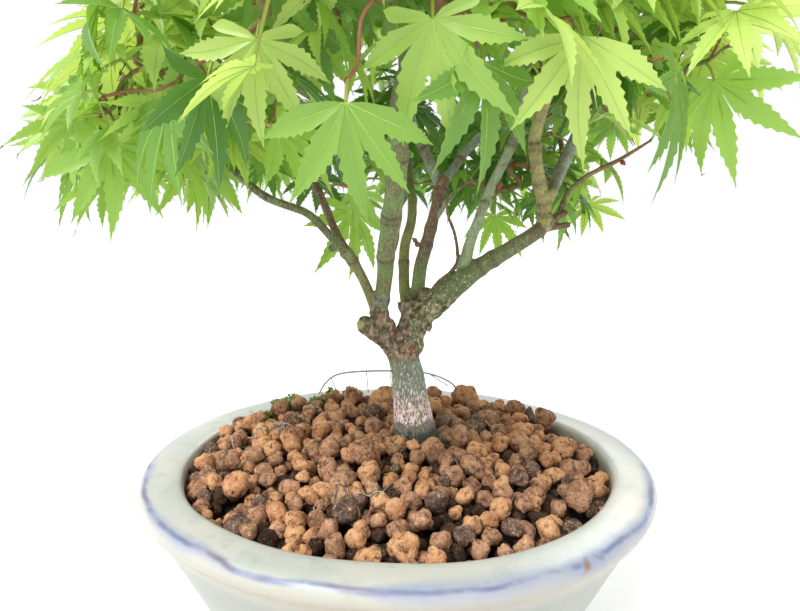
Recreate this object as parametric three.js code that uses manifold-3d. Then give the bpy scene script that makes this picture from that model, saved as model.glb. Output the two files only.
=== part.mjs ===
// A small Japanese maple grown as a bonsai, in a round glazed pot topped with clay granules.
// Millimetres, +Z up. The origin is the centre of the pot's flat underside; +Y points to the back.

import * as THREE from 'three';
import { mergeVertices } from 'three/addons/utils/BufferGeometryUtils.js';
import Module from 'manifold-3d';

const wasm = await Module();
wasm.setup();

// ---------- driving dimensions ----------

const GAP = 0.3; // left between neighbours that touch

const POT = {
  height: 64,
  rimRadius: 80, // outer edge of the flat rim
  lipRadius: 68.6, // inner edge of the rim
  bulge: 1.3, // how far the rolled edge stands out past the rim
  roll: 9, // depth of the rolled edge, down to the fold under it
  foldRadius: 77.4,
  footRadius: 50,
  footHeight: 6,
  wall: 8,
  floor: 8,
  sides: 40,
};

const DRAIN = { count: 3, radius: 5, ringRadius: 26, sides: 16 };

const SOIL = { crest: 5.6, edgeDrop: 2.4, edgeRadius: 67.2, sides: 32 }; // crest and drop from the rim's top

const TRUNK_FOOT = { x: 5.6, y: 2, z: 3.4, radius: 8.6 }; // z is from the rim's top
const SOCKET_CLEARANCE = 0.5;

const LIMB_SIDES = 8;
const STEP_LENGTH = 12; // of a limb, between two rings of corners

const CROWN = {
  lowerRing: { count: 8, reachX: 70, reachY: 77, height: 110, halfWidth: 38, halfHeight: 31 },
  upperRing: { count: 5, reachX: 42, reachY: 46, height: 164, halfWidth: 40, halfHeight: 33 },
  top: { height: 203, halfWidth: 38, halfHeight: 27 },
};
const MASS_SIDES = 14; // corners round a mass
const MASS_RINGS = 9; // steps from its foot to its top
const LUMPS = 0.16; // how deep the hollows in a mass are, as a share of its size
const MASS_GAP = 1; // left between two masses of leaves
const MASS_TOLERANCE = 0.4; // how far thinning out a mass's corners may move its skin

const COLOURS = {
  glaze: 0xd6d9cc,
  granules: 0xbe8a58,
  trunkBark: 0x7f8265,
  greenBark: 0x7c9447,
  brownBark: 0x84684c,
  wire: 0x9a9a98,
  leaves: [0x9fcf3a, 0x86bf3c, 0xb4dc4a],
};

// ---------- helpers ----------

const rim = (z) => POT.height + z; // a height given from the rim's top
const atRim = ([x, y, z]) => new THREE.Vector3(x, y, rim(z));

// Turns a closed three.js geometry into a manifold solid.
function solid(geometry) {
  const bare = geometry.clone();
  bare.deleteAttribute('normal');
  bare.deleteAttribute('uv');
  const merged = mergeVertices(bare, 1e-4);
  const mesh = new wasm.Mesh({
    numProp: 3,
    vertProperties: new Float32Array(merged.attributes.position.array),
    triVerts: new Uint32Array(merged.index.array),
  });
  return new wasm.Manifold(mesh);
}

// Keeps the largest body of a cut solid and turns it back into a geometry.
function geometryOf(manifold) {
  const bodies = manifold.decompose().sort((a, b) => b.volume() - a.volume());
  const { vertProperties, triVerts } = bodies[0].getMesh();
  const geometry = new THREE.BufferGeometry();
  geometry.setAttribute('position', new THREE.BufferAttribute(vertProperties, 3));
  geometry.setIndex(new THREE.BufferAttribute(triVerts, 1));
  return geometry;
}

function namedMesh(name, geometry, color, roughness = 0.8) {
  geometry.computeVertexNormals();
  const mesh = new THREE.Mesh(geometry, new THREE.MeshStandardMaterial({ color, roughness, metalness: 0 }));
  mesh.name = name;
  return mesh;
}

// A solid of revolution about +Z from a profile of [radius, height] that runs from axis to axis.
function turned(profile, sides) {
  const points = profile.map(([radius, height]) => new THREE.Vector2(radius, height));
  const lathe = new THREE.LatheGeometry(points, sides);
  lathe.rotateX(Math.PI / 2);
  return solid(lathe);
}

// ---------- pot and soil ----------

function potWall(radiusOut, z) {
  return [radiusOut - POT.wall, z];
}

function buildPot() {
  const top = POT.height;
  const fold = top - POT.roll;
  const footTop = POT.footHeight + 3;
  const edge = POT.rimRadius + POT.bulge;
  const profile = [
    [0, 0],
    [POT.footRadius - 1.5, 0],
    [POT.footRadius, 1.5],
    [POT.footRadius, POT.footHeight],
    [POT.footRadius + 4.5, footTop],
    [POT.foldRadius, fold],
    [edge - 0.6, top - 6],
    [edge, top - 3.8],
    [edge - 0.5, top - 1.7],
    [POT.rimRadius - 1.2, top - 0.3],
    [POT.lipRadius + 5, top],
    [POT.lipRadius, top - 0.4],
    [POT.lipRadius - 0.6, top - 3],
    potWall(POT.foldRadius - 1, fold),
    potWall(POT.footRadius + 4.5, footTop + 1),
    [POT.footRadius - POT.wall - 4, POT.floor],
    [0, POT.floor],
  ];
  let pot = turned(profile, POT.sides);
  for (let i = 0; i < DRAIN.count; i += 1) {
    const angle = (2 * Math.PI * i) / DRAIN.count + Math.PI / 2;
    const drill = new THREE.CylinderGeometry(DRAIN.radius, DRAIN.radius, POT.floor + 4, DRAIN.sides);
    drill.rotateX(Math.PI / 2);
    drill.translate(DRAIN.ringRadius * Math.cos(angle), DRAIN.ringRadius * Math.sin(angle), POT.floor / 2);
    pot = pot.subtract(solid(drill));
  }
  return pot;
}

// The height of the soil's mound, from the rim's top.
function soilTop(radius) {
  const share = radius / SOIL.edgeRadius;
  return SOIL.crest - (SOIL.crest + SOIL.edgeDrop) * share ** 2;
}

function buildSoil() {
  const fold = POT.height - POT.roll;
  const profile = [
    [0, POT.floor + GAP],
    [POT.footRadius - POT.wall - 4.4, POT.floor + GAP],
    [POT.footRadius + 4.0 - POT.wall, POT.footHeight + 4.2],
    [POT.foldRadius - 1.5 - POT.wall, fold],
    [SOIL.edgeRadius, rim(-4)],
  ];
  for (const share of [1, 0.85, 0.65, 0.4, 0]) {
    const radius = SOIL.edgeRadius * share;
    profile.push([radius, rim(soilTop(radius))]);
  }
  const radius = TRUNK_FOOT.radius + SOCKET_CLEARANCE;
  const socket = new THREE.CylinderGeometry(radius, radius, 10, 24);
  socket.rotateX(Math.PI / 2);
  socket.translate(TRUNK_FOOT.x, TRUNK_FOOT.y, rim(TRUNK_FOOT.z) - GAP + 5);
  return turned(profile, SOIL.sides).subtract(solid(socket));
}

// ---------- limbs ----------

// A closed tapering limb along a smooth line through its points. Its radii are spread evenly
// from foot to tip. grow makes it that much thicker and longer, for cutting its neighbours.
function limb({ points, radii, sides = LIMB_SIDES }, grow = 0) {
  const curve = new THREE.CatmullRomCurve3(points.map(atRim), false, 'centripetal');
  const steps = Math.max(4, Math.round(curve.getLength() / STEP_LENGTH));
  const frames = curve.computeFrenetFrames(steps, false);
  const tube = new THREE.CylinderGeometry(1, 1, 1, sides, steps);
  const position = tube.attributes.position;
  for (let i = 0; i < position.count; i += 1) {
    const along = 0.5 - position.getY(i);
    const ring = Math.round(along * steps);
    const across = Math.hypot(position.getX(i), position.getZ(i));
    const angle = Math.atan2(-position.getX(i), position.getZ(i));
    const place = along * (radii.length - 1);
    const low = Math.min(Math.floor(place), radii.length - 2);
    const radius = grow + THREE.MathUtils.lerp(radii[low], radii[low + 1], place - low);
    const corner = curve.getPointAt(along);
    corner.addScaledVector(frames.normals[ring], radius * across * Math.cos(angle));
    corner.addScaledVector(frames.binormals[ring], radius * across * Math.sin(angle));
    if (ring === 0) corner.addScaledVector(frames.tangents[ring], -grow);
    if (ring === steps) corner.addScaledVector(frames.tangents[ring], grow);
    position.setXYZ(i, corner.x, corner.y, corner.z);
  }
  return solid(tube);
}

// Points are [x, y, height from the rim's top]. A limb's first point lies inside the limb it
// grows from, and its last one inside the mass of leaves that it carries.
const foot = [TRUNK_FOOT.x, TRUNK_FOOT.y, TRUNK_FOOT.z - 2]; // the flat cut comes above it
const LIMBS = {
  trunk: {
    points: [foot, [4.5, 2, 12.5], [3.6, 2, 19], [3.0, 2, 25.5], [1.6, 2, 31], [0.6, 2, 36.5]],
    radii: [TRUNK_FOOT.radius, 6.7, 5.9, 5.5, 5.1, 5.4],
    sides: 14,
  },
  left_fork: {
    points: [[0, 2, 34], [-4.6, 1.2, 39.5], [-6.5, 0, 46], [-6.9, 0, 50.5]],
    radii: [3.9, 3.3, 2.9, 2.7],
  },
  cut_stub: {
    points: [[-1.5, 2, 36.5], [-8.2, -0.8, 40.4], [-12.2, -3, 43.6]],
    radii: [3.2, 2.8, 2.9],
  },
  left_bough: {
    points: [[-7.4, 0, 47], [-9.6, -1, 52.5], [-12.4, -2, 59], [-16.5, -4, 66.3]],
    radii: [1.7, 1.6, 1.6, 1.9],
  },
  left_outer_bough: {
    points: [[-15.8, -4, 65.6], [-22.1, -5, 72], [-29, -7, 78.8], [-41.2, -10, 83.8], [-52, -12, 93]],
    radii: [1.5, 1.3, 1.25, 1.15, 1.0],
  },
  left_rear_bough: {
    points: [[-16.2, -3.6, 66], [-20.6, 2, 72], [-27.7, 10, 86.3], [-36, 18, 98], [-46, 34, 108]],
    radii: [1.4, 1.3, 1.25, 1.2, 1.0],
  },
  front_bough: {
    points: [[-6.6, 0, 47], [-4.9, -3, 59.6], [-4.5, -8, 67.8], [-3, -13, 77.1], [-1, -23, 94], [-1, -36, 106],
      [2, -58, 118]],
    radii: [2.1, 2.6, 2.8, 2.9, 2.7, 2.2, 1.5],
  },
  front_left_bough: {
    points: [[-1.5, -24, 95], [-12, -30, 103], [-30, -44, 112]],
    radii: [1.7, 1.4, 1.1],
  },
  centre_fork: {
    points: [[1, 2, 34], [3, 3, 39.4], [4.2, 4, 45], [4.8, 5, 50.5]],
    radii: [4.0, 3.9, 3.9, 3.4],
  },
  centre_thin_bough: {
    points: [[3.2, 5.5, 47.5], [1.6, 9, 52], [1.2, 14, 59.5], [1.5, 18, 68], [4, 26, 80], [2, 52, 104]],
    radii: [1.9, 1.9, 1.8, 1.6, 1.3, 1.0],
  },
  centre_bough: {
    points: [[5.4, 5.6, 48.5], [6.6, 10, 60], [8.3, 12, 66.7], [10.6, 14, 75.8], [12.5, 15, 83.6], [13.8, 15, 89.5]],
    radii: [2.5, 2.3, 2.25, 2.1, 1.9, 2.1],
  },
  centre_upper_bough: {
    points: [[13.2, 15, 88], [7.9, 18, 99.7], [3.4, 21, 110], [0.4, 22, 126], [0, 20, 146]],
    radii: [1.7, 1.7, 1.7, 1.5, 1.3],
  },
  centre_rear_bough: {
    points: [[13.6, 15, 88.4], [20.6, 25, 98], [27.5, 33, 106], [38, 46, 114]],
    radii: [1.6, 1.45, 1.4, 1.2],
  },
  right_fork: {
    points: [[1.8, 2.5, 37], [7, 2.8, 45.4], [11.8, 2, 49.6], [16.2, 1, 54.5], [20.8, 0, 58.6]],
    radii: [3.9, 3.7, 3.9, 3.8, 3.4],
  },
  right_bough: {
    points: [[19.6, 0.3, 57.5], [26.3, 0, 62.7], [34.9, -1, 68.2], [42.5, -2, 73.4], [46.3, -2, 77.2]],
    radii: [3.2, 2.8, 2.6, 2.4, 2.3],
  },
  right_inner_bough: {
    points: [[20.2, 0.2, 57.8], [21.8, 2, 67.5], [25.6, 4, 78.4], [29.5, 6, 88.5], [34, 6, 98], [38, 6, 110],
      [40, 2, 132], [38, -4, 150]],
    radii: [1.9, 1.65, 1.55, 1.6, 1.6, 1.6, 1.5, 1.2],
  },
  right_middle_bough: {
    points: [[45.4, -2, 76], [44.6, -3, 83], [42.6, -5, 88.8], [40.6, -7, 97], [40.1, -9, 104.2], [42, -24, 116]],
    radii: [2.2, 2.15, 1.9, 1.8, 1.7, 1.4],
  },
  right_outer_bough: {
    points: [[45.8, -1.8, 76.8], [46.6, -1, 83.7], [49.3, 2, 90], [53.2, 5, 98.2], [57.7, 7, 107]],
    radii: [2.1, 2.1, 2.05, 2.05, 1.9],
  },
  right_low_bough: {
    points: [[46.8, -1.6, 76.6], [49.8, 0, 80.4], [54.7, 3, 88.9], [61.7, 6, 93.9], [74, 8, 99]],
    radii: [1.2, 1.0, 0.95, 0.85, 0.7],
  },
};

// ---------- foliage ----------

// An uneven round mass of leaves: a sphere pushed in and out by slow waves, flatter below.
function leafMass({ centre, half, phase }, grow = 0) {
  const ball = new THREE.SphereGeometry(1, MASS_SIDES, MASS_RINGS);
  ball.rotateX(Math.PI / 2);
  const position = ball.attributes.position;
  const corner = new THREE.Vector3();
  for (let i = 0; i < position.count; i += 1) {
    corner.fromBufferAttribute(position, i);
    const waves = Math.sin(3.4 * corner.x + 2.1 * corner.z + phase)
      + Math.sin(4.1 * corner.y - 2.6 * corner.x - 1.9 * phase)
      + Math.sin(4.7 * corner.z + 3.3 * corner.y + 2.7 * phase);
    const swell = 1 + (LUMPS / 2) * waves;
    const flatten = corner.z < 0 ? 0.86 : 1;
    const share = [half[0] * swell + grow, half[1] * swell + grow, half[2] * swell * flatten + grow];
    position.setXYZ(i, corner.x * share[0], corner.y * share[1], corner.z * share[2]);
  }
  ball.translate(centre[0], centre[1], rim(centre[2]));
  return solid(ball);
}

// One ring of the crown: masses set evenly round an oval, each lifted and sized a little differently.
function massRing(prefix, ring, names, lifts, turn) {
  return names.map((name, i) => {
    const angle = turn + (2 * Math.PI * i) / ring.count;
    const swing = 0.1 * Math.sin(2.3 * i + 1);
    const width = ring.halfWidth * (1 + swing);
    return {
      name: `${prefix}_${name}`,
      centre: [ring.reachX * Math.cos(angle), ring.reachY * Math.sin(angle), ring.height + lifts[i]],
      half: [width, width * (1 - swing), ring.halfHeight],
      phase: 1.7 * i + turn,
    };
  });
}

const LOWER_NAMES = ['right', 'back_right', 'back', 'back_left', 'left', 'front_left', 'front', 'front_right'];
const LOWER_LIFTS = [9, -11, 0, -3, -8, -1, 12, 7];
const UPPER_NAMES = ['right', 'back_right', 'back_left', 'left', 'front'];
const UPPER_LIFTS = [2, 6, 0, -3, 1];
const { top } = CROWN;
const MASSES = [
  ...massRing('lower_foliage', CROWN.lowerRing, LOWER_NAMES, LOWER_LIFTS, 0),
  ...massRing('upper_foliage', CROWN.upperRing, UPPER_NAMES, UPPER_LIFTS, -0.3),
  { name: 'top_foliage', centre: [2, 0, top.height], half: [top.halfWidth, top.halfWidth, top.halfHeight], phase: 4 },
];

// ---------- tie wire ----------

// A loop of thin wire that stands out of the soil behind the trunk.
const WIRE = { points: [[-33, 59, 4.6], [-23, 60.5, 10.8], [0, 61.5, 12.2], [14, 61, 10.8], [25, 59.5, 4.8]] };

// ---------- assembly ----------

const group = new THREE.Group();

group.add(namedMesh('pot', geometryOf(buildPot()), COLOURS.glaze, 0.2));
group.add(namedMesh('soil', geometryOf(buildSoil()), COLOURS.granules, 0.95));

// Each mass is cut clear of the masses before it.
const masses = MASSES.map((mass) => ({ mass, body: leafMass(mass), reach: leafMass(mass, MASS_GAP) }));
masses.forEach(({ mass, body }, i) => {
  const cut = masses.slice(0, i).reduce((left, before) => left.subtract(before.reach), body);
  const colour = COLOURS.leaves[i % COLOURS.leaves.length];
  group.add(namedMesh(mass.name, geometryOf(cut.simplify(MASS_TOLERANCE)), colour, 0.6));
});

// Each limb is cut clear of the limbs before it and ends at the skin of the mass that it enters.
const ground = new THREE.BoxGeometry(60, 60, 20);
ground.translate(TRUNK_FOOT.x, TRUNK_FOOT.y, rim(TRUNK_FOOT.z) - 10);
const grownLimbs = [solid(ground)]; // gives the trunk its flat foot
for (const [name, shape] of Object.entries(LIMBS)) {
  let body = limb(shape);
  for (const before of grownLimbs) body = body.subtract(before);
  if (name !== 'trunk') for (const { reach } of masses) body = body.subtract(reach);
  grownLimbs.push(limb(shape, GAP));
  const green = name.includes('bough');
  const colour = name === 'trunk' ? COLOURS.trunkBark : green ? COLOURS.greenBark : COLOURS.brownBark;
  group.add(namedMesh(name, geometryOf(body), colour));
}

const wireRadii = WIRE.points.map(() => 0.5);
group.add(namedMesh('tie_wire', geometryOf(limb({ points: WIRE.points, radii: wireRadii, sides: 6 })), COLOURS.wire));

export default group;
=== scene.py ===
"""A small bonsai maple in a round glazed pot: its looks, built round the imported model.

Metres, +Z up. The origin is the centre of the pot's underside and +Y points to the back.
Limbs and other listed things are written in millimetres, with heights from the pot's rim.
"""
import math

import bmesh
import bpy
import numpy as np
from mathutils import Matrix, Vector, kdtree, noise


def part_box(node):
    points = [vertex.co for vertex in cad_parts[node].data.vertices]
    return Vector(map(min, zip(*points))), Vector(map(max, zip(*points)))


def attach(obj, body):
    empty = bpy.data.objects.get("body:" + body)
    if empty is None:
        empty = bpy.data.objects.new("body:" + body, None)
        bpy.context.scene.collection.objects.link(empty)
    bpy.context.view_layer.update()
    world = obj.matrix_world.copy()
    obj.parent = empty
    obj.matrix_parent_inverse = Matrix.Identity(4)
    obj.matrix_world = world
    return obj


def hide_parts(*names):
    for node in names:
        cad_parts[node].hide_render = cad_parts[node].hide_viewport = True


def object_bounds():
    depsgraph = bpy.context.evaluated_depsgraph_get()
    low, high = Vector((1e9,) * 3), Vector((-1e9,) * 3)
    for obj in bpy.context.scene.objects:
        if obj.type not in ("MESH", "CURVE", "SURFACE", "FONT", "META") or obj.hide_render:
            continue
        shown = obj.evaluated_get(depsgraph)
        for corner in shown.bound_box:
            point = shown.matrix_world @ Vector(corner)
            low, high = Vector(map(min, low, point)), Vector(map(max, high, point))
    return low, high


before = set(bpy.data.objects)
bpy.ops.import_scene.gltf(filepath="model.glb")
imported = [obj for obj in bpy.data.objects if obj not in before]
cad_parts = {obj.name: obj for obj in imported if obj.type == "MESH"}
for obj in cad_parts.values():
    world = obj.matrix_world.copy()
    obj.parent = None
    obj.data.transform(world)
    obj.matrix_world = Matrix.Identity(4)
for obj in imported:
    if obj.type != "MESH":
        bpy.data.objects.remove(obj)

CAD_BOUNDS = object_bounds()
MM = 0.001
RIM_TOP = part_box("pot")[1].z
RIM_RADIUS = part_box("pot")[1].x - 1.3 * MM  # the rolled edge stands 1.3 mm past the rim's top
SEED = 11


# ---------- arrays and meshes ----------

def at_rim(points):
    """Millimetres with heights from the rim's top, as metres in the part's frame."""
    return np.atleast_2d(np.array(points, float)) * MM + np.array([0, 0, RIM_TOP])


def unit(vectors):
    return vectors / np.maximum(np.linalg.norm(vectors, axis=-1, keepdims=True), 1e-12)


def ramp(values, low, high):
    """0 where values reach low, 1 where they reach high, straight between."""
    return np.clip((values - low) / (high - low), 0, 1)


def bell(values, centre, width):
    """1 at the centre, falling to nothing over a few widths."""
    return np.exp(-(((values - centre) / width) ** 2))


def rgb(red, green, blue):
    """A colour given from 0 to 255 as a screen shows it, as linear RGBA."""
    values = np.array([red, green, blue]) / 255
    linear = np.where(values <= 0.04045, values / 12.92, ((values + 0.055) / 1.055) ** 2.4)
    return (*linear, 1.0)


def circle(count):
    """Evenly spaced angles round a circle, and their cosines and sines as columns."""
    angles = np.linspace(0, 2 * np.pi, count, endpoint=False)
    return angles, np.stack([np.cos(angles), np.sin(angles)], 1)


def noise_at(points, scale, seed=0.0):
    """Smooth noise, about -1 to 1, at each point; scale is in waves per unit."""
    shift = Vector((seed * 17.3, seed * 5.1, seed * 9.7))
    return np.array([noise.noise(Vector(p) * scale + shift) for p in points])


def mesh_from(name, points, faces, smooth=True):
    """A mesh from arrays of corners and of faces that all have as many sides."""
    mesh = bpy.data.meshes.new(name)
    count, sides = faces.shape
    mesh.vertices.add(len(points))
    mesh.vertices.foreach_set("co", np.asarray(points, np.float32).ravel())
    mesh.loops.add(count * sides)
    mesh.loops.foreach_set("vertex_index", faces.astype(np.int32).ravel())
    mesh.polygons.add(count)
    mesh.polygons.foreach_set("loop_start", np.arange(0, count * sides, sides, dtype=np.int32))
    mesh.polygons.foreach_set("use_smooth", np.full(count, smooth))
    mesh.update(calc_edges=True)
    mesh.validate()
    return mesh


def add_piece(name, mesh, material, replaces=()):
    """Puts a finished mesh into the scene as a piece that rides on the part's one body."""
    piece = bpy.data.objects.new(name, mesh)
    bpy.context.scene.collection.objects.link(piece)
    mesh.materials.append(material)
    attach(piece, "root")
    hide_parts(*replaces)


def joined(parts):
    """Several (points, faces) pairs as one."""
    offsets = np.cumsum([0] + [len(points) for points, _ in parts[:-1]])
    points = np.concatenate([points for points, _ in parts])
    faces = np.concatenate([faces + offset for (_, faces), offset in zip(parts, offsets)])
    return points, faces


def add_parts(name, parts, material, replaces=()):
    """Many small shapes of one kind as one piece."""
    add_piece(name, mesh_from(name, *joined(parts)), material, replaces)


def smooth_line(points, step):
    """Evenly spaced points on a smooth line through the given ones."""
    points = np.asarray(points, float)
    ends = np.vstack([2 * points[0] - points[1], points, 2 * points[-1] - points[-2]])
    pieces = []
    for p0, p1, p2, p3 in zip(ends, ends[1:], ends[2:], ends[3:]):
        t = np.linspace(0, 1, 24, endpoint=False)[:, None]
        slope1, slope2 = (p2 - p0) / 2, (p3 - p1) / 2
        pieces.append((2 * t**3 - 3 * t**2 + 1) * p1 + (t**3 - 2 * t**2 + t) * slope1
                      + (3 * t**2 - 2 * t**3) * p2 + (t**3 - t**2) * slope2)
    fine = np.vstack([*pieces, points[-1:]])
    lengths = np.concatenate([[0], np.cumsum(np.linalg.norm(np.diff(fine, axis=0), axis=1))])
    count = max(3, int(round(lengths[-1] / step)) + 1)
    even = np.linspace(0, lengths[-1], count)
    return np.stack([np.interp(even, lengths, fine[:, axis]) for axis in range(3)], axis=1)


def line_frames(line):
    """Tangents and two cross directions along a line, without sudden twists."""
    tangents = unit(np.gradient(line, axis=0))
    start = np.cross(tangents[0], [0, 1, 0])
    if np.linalg.norm(start) < 0.1:
        start = np.cross(tangents[0], [1, 0, 0])
    across = [unit(start)]
    for tangent in tangents[1:]:
        across.append(unit(across[-1] - tangent * np.dot(across[-1], tangent)))
    across = np.array(across)
    return tangents, across, np.cross(tangents, across)


def ring_faces(rings, sides):
    """Quads between each ring of corners and the next."""
    corner = np.arange(sides)
    after = (corner + 1) % sides
    rows = (np.arange(rings - 1) * sides)[:, None]
    quads = [rows + corner, rows + after, rows + after + sides, rows + corner + sides]
    return np.stack(quads, -1).reshape(-1, 4)


def tube(line, radii, sides, capped=True):
    """A round limb along a line, closed at both ends when capped."""
    _, across, beside = line_frames(line)
    _, around = circle(sides)
    ring = across[:, None] * around[:, :1] + beside[:, None] * around[:, 1:]
    points = (line[:, None] + ring * np.asarray(radii)[:, None, None]).reshape(-1, 3)
    quads = ring_faces(len(line), sides)
    faces = np.concatenate([quads[:, [0, 1, 2]], quads[:, [0, 2, 3]]])
    if capped:
        points = np.vstack([points, line[:1], line[-1:]])
        foot, tip = np.arange(sides), np.arange(sides) + (len(line) - 1) * sides
        foot = np.stack([np.roll(foot, -1), foot, np.full(sides, len(points) - 2)], -1)
        tip = np.stack([tip, np.roll(tip, -1), np.full(sides, len(points) - 1)], -1)
        faces = np.concatenate([faces, foot, tip])
    return points, faces


def ball():
    """A ball of radius 1 made of even triangles."""
    build = bmesh.new()
    bmesh.ops.create_icosphere(build, subdivisions=3, radius=1)
    points = np.array([v.co for v in build.verts])
    faces = np.array([[v.index for v in f.verts] for f in build.faces])
    build.free()
    return points, faces


# ---------- materials ----------

class Shader:
    """Builds one material from nodes, with short names for the nodes it uses."""

    def __init__(self, name):
        self.material = bpy.data.materials.new(name)
        self.material.use_nodes = True
        self.tree = self.material.node_tree
        self.tree.nodes.clear()
        self.output = self.tree.nodes.new("ShaderNodeOutputMaterial")
        self.surface = self.tree.nodes.new("ShaderNodeBsdfPrincipled")
        self.link(self.surface.outputs[0], self.output.inputs["Surface"])
        self.place = self.tree.nodes.new("ShaderNodeTexCoord").outputs["Object"]

    def link(self, source, socket):
        self.tree.links.new(source, socket)

    def put(self, socket, value):
        if isinstance(value, bpy.types.NodeSocket):
            self.link(value, socket)
        else:
            socket.default_value = value

    def math(self, operation, *values):
        node = self.tree.nodes.new("ShaderNodeMath")
        node.operation = operation
        for socket, value in zip(node.inputs, values):
            self.put(socket, value)
        return node.outputs[0]

    def times(self, first, second):
        return self.math("MULTIPLY", first, second)

    def plus(self, first, second):
        return self.math("ADD", first, second)

    def minus(self, first, second):
        return self.math("SUBTRACT", first, second)

    def mix(self, share, first, second):
        node = self.tree.nodes.new("ShaderNodeMix")
        node.data_type = "RGBA"
        self.put(node.inputs[0], share)
        self.put(node.inputs[6], first)
        self.put(node.inputs[7], second)
        return node.outputs[2]

    def noise(self, scale, detail=3.0, roughness=0.55, place=None):
        node = self.tree.nodes.new("ShaderNodeTexNoise")
        self.put(node.inputs["Vector"], self.place if place is None else place)
        node.inputs["Scale"].default_value = scale
        node.inputs["Detail"].default_value = detail
        node.inputs["Roughness"].default_value = roughness
        return node.outputs["Fac"]

    def steps(self, value, low, high):
        """0 where value is under low, 1 where it is over high, smooth between them."""
        node = self.tree.nodes.new("ShaderNodeMapRange")
        node.interpolation_type = "SMOOTHSTEP"
        for socket, given in zip(node.inputs, (value, low, high)):
            self.put(socket, given)
        return node.outputs[0]

    def tint(self, colour, other, value, low, high, amount=1.0):
        """The colour, with as much of another as value has gone from low to high."""
        return self.mix(self.times(self.steps(value, low, high), amount), colour, other)

    def attribute(self, name, output):
        node = self.tree.nodes.new("ShaderNodeAttribute")
        node.attribute_name = name
        return node.outputs[output]

    def bump(self, height, distance, strength=1.0):
        node = self.tree.nodes.new("ShaderNodeBump")
        node.inputs["Distance"].default_value = distance
        node.inputs["Strength"].default_value = strength
        self.put(node.inputs["Height"], height)
        self.link(node.outputs[0], self.surface.inputs["Normal"])

    def set(self, **values):
        for name, value in values.items():
            self.put(self.surface.inputs[name.replace("_", " ")], value)


def plain(name, colour, roughness, **more):
    """A material of one colour."""
    shader = Shader(name)
    shader.set(Base_Color=colour, Roughness=roughness, **more)
    return shader.material


# ---------- camera, light and floor ----------

CAMERA_BACK, CAMERA_ABOVE_RIM = 209 * MM, 80.25 * MM
CAMERA_PITCH, CAMERA_ROLL = math.radians(8.39), math.radians(0.65)
FOCAL_LENGTH = 29.25  # on a sensor 36 mm wide
LAMPS_LOOK_AT = Vector((0, 0, 0.15))
FLOOR_HALF, FLOOR_DROP = 30, 0.2 * MM


def make_camera():
    data = bpy.data.cameras.new("camera")
    data.lens, data.sensor_width = FOCAL_LENGTH, 36
    data.clip_start, data.clip_end = 0.004, 20
    camera = bpy.data.objects.new("camera", data)
    bpy.context.scene.collection.objects.link(camera)
    turn = Matrix.Rotation(math.pi / 2 - CAMERA_PITCH, 4, "X") @ Matrix.Rotation(CAMERA_ROLL, 4, "Z")
    camera.matrix_world = Matrix.Translation((0, -CAMERA_BACK, RIM_TOP + CAMERA_ABOVE_RIM)) @ turn
    bpy.context.scene.camera = camera


def make_light(kind, name, place, size, power):
    """A lamp that looks at the plant; size is in metres for a disc and in radians for a sun."""
    data = bpy.data.lights.new(name, kind)
    data.energy = power
    if kind == "SUN":
        data.angle = size
    else:
        data.shape, data.size = "DISK", size
    light = bpy.data.objects.new(name, data)
    bpy.context.scene.collection.objects.link(light)
    light.location = place
    light.rotation_euler = (LAMPS_LOOK_AT - Vector(place)).to_track_quat("-Z", "Y").to_euler()


def make_studio():
    world = bpy.data.worlds.new("studio")
    world.use_nodes = True
    world.node_tree.nodes["Background"].inputs["Color"].default_value = (1, 1, 1, 1)
    world.node_tree.nodes["Background"].inputs["Strength"].default_value = 1.0
    bpy.context.scene.world = world
    bpy.context.scene.view_settings.view_transform = "Standard"
    make_light("SUN", "key", (-0.55, -0.75, 1.1), math.radians(28), 3.4)
    make_light("AREA", "back", (0.3, 0.75, 0.75), 0.5, 4.5)

    corners = np.array([[-1, -1], [1, -1], [1, 1], [-1, 1]]) * FLOOR_HALF
    corners = np.column_stack([corners, np.full(4, -FLOOR_DROP)])
    mesh = mesh_from("floor", corners, np.array([[0, 1, 2, 3]]), False)
    mesh.materials.append(plain("floor", (0.9, 0.9, 0.9, 1), 0.9))
    floor = bpy.data.objects.new("floor", mesh)
    bpy.context.scene.collection.objects.link(floor)


# ---------- pot ----------

POT_SIDES, HOLE_SIDES = 288, 32
FLOOR_THICKNESS = 8 * MM
DRAIN_HOLES, DRAIN_RADIUS, DRAIN_RING = 3, 5, 26  # mm
POT_PROFILE = [  # radius, and height from the rim's top, in mm: up the outside and down the inside
    (48.6, -64.0), (49.6, -63.6), (50.0, -62.6), (50.0, -58.4), (50.8, -57.0), (54.0, -55.3), (56.6, -51.5),
    (66.0, -32.4), (73.2, -17.6), (76.6, -10.6), (77.6, -8.4), (79.2, -6.6), (80.6, -5.4), (81.2, -4.2),
    (81.3, -3.0), (81.0, -1.8), (80.3, -0.8), (79.2, -0.2), (76.5, 0.05), (73.0, 0.1), (70.4, -0.1),
    (69.2, -0.6), (68.5, -1.6), (68.2, -3.2), (68.3, -6.0), (68.4, -9.0), (62.0, -22.0), (53.0, -42.0),
    (47.0, -53.0),
]


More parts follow.
